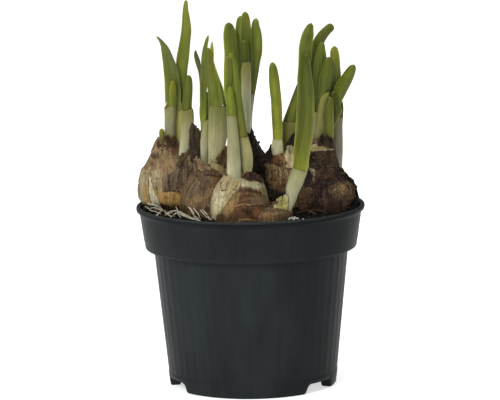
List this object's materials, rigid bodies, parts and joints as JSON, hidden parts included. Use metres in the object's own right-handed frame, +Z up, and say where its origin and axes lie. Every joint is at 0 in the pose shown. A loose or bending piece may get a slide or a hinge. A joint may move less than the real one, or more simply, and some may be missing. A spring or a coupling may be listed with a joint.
{
  "type": "potted narcissus",
  "caption": "Sprouting narcissus bulbs with short strap leaves in pale sheaths, crowded in a round dark plastic nursery pot of compost.",
  "frame": {"origin": "on the pot's axis, at the level of the floor that the pot stands on", "axes": "+Z up along the pot's axis; -Y towards the front, where the double nosed bulb stands against the rim; +X to the right as seen from the front"},
  "size_m": [0.12, 0.12, 0.203],
  "materials": {
    "pot": "satin",
    "compost": "rough",
    "bulb_tan": "satin",
    "bulb_orange": "satin",
    "bulb_rosy": "satin",
    "bulb_dark": "satin",
    "bulb_tan_brown": "satin",
    "bulb_black": "satin",
    "dry_tunic": "satin",
    "sheath": "satin",
    "leaf": "satin",
    "root": "satin"
  },
  "bodies": {
    "root": {"leaf_left_tall": "leaf", "leaf_left_drooping": "leaf", "leaf_left_short": "leaf", "leaf_left_inner": "leaf", "leaf_left_bud": "leaf", "leaf_mid_left_edge": "leaf", "leaf_mid_left_dark": "leaf", "leaf_mid_left_short": "leaf", "leaf_mid_left_thin": "leaf", "leaf_mid_left_wide": "leaf", "leaf_mid_left_leaning": "leaf", "leaf_front_left": "leaf", "leaf_front_left_rear": "leaf", "leaf_front_right": "leaf", "leaf_back_left": "leaf", "leaf_back_rear": "leaf", "leaf_back_middle": "leaf", "leaf_back_right": "leaf", "leaf_back_short": "leaf", "leaf_mid_right_single": "leaf", "leaf_mid_right_leaning": "leaf", "leaf_offset_front": "leaf", "leaf_offset_tall": "leaf", "leaf_right_curved": "leaf", "leaf_right_second": "leaf", "leaf_right_centre": "leaf", "leaf_right_brown_tip": "leaf", "leaf_right_leaning": "leaf", "leaf_right_low": "leaf", "leaf_right_front": "leaf", "sheath_left_front": "sheath", "sheath_left_rear": "sheath", "sheath_left_inner": "sheath", "sheath_mid_left_slim": "sheath", "sheath_mid_left_wide": "sheath", "sheath_front_left": "sheath", "sheath_front_right": "sheath", "sheath_front_offset": "sheath", "sheath_back_front": "sheath", "sheath_back_rear": "sheath", "sheath_mid_right_front": "sheath", "sheath_mid_right_rear": "sheath", "sheath_right_left": "sheath", "sheath_right_torn": "sheath", "sheath_right_outer": "sheath", "bulb_left": "bulb_tan", "bulb_front": "bulb_orange", "bulb_mid_left": "bulb_rosy", "bulb_right": "bulb_dark", "bulb_mid_right": "bulb_tan_brown", "bulb_back": "bulb_black", "tunic_flap_left": "dry_tunic", "tunic_tongue_mid": "dry_tunic", "roots_left": "root", "compost": "compost", "pot": "pot"}
  },
  "joints": []
}
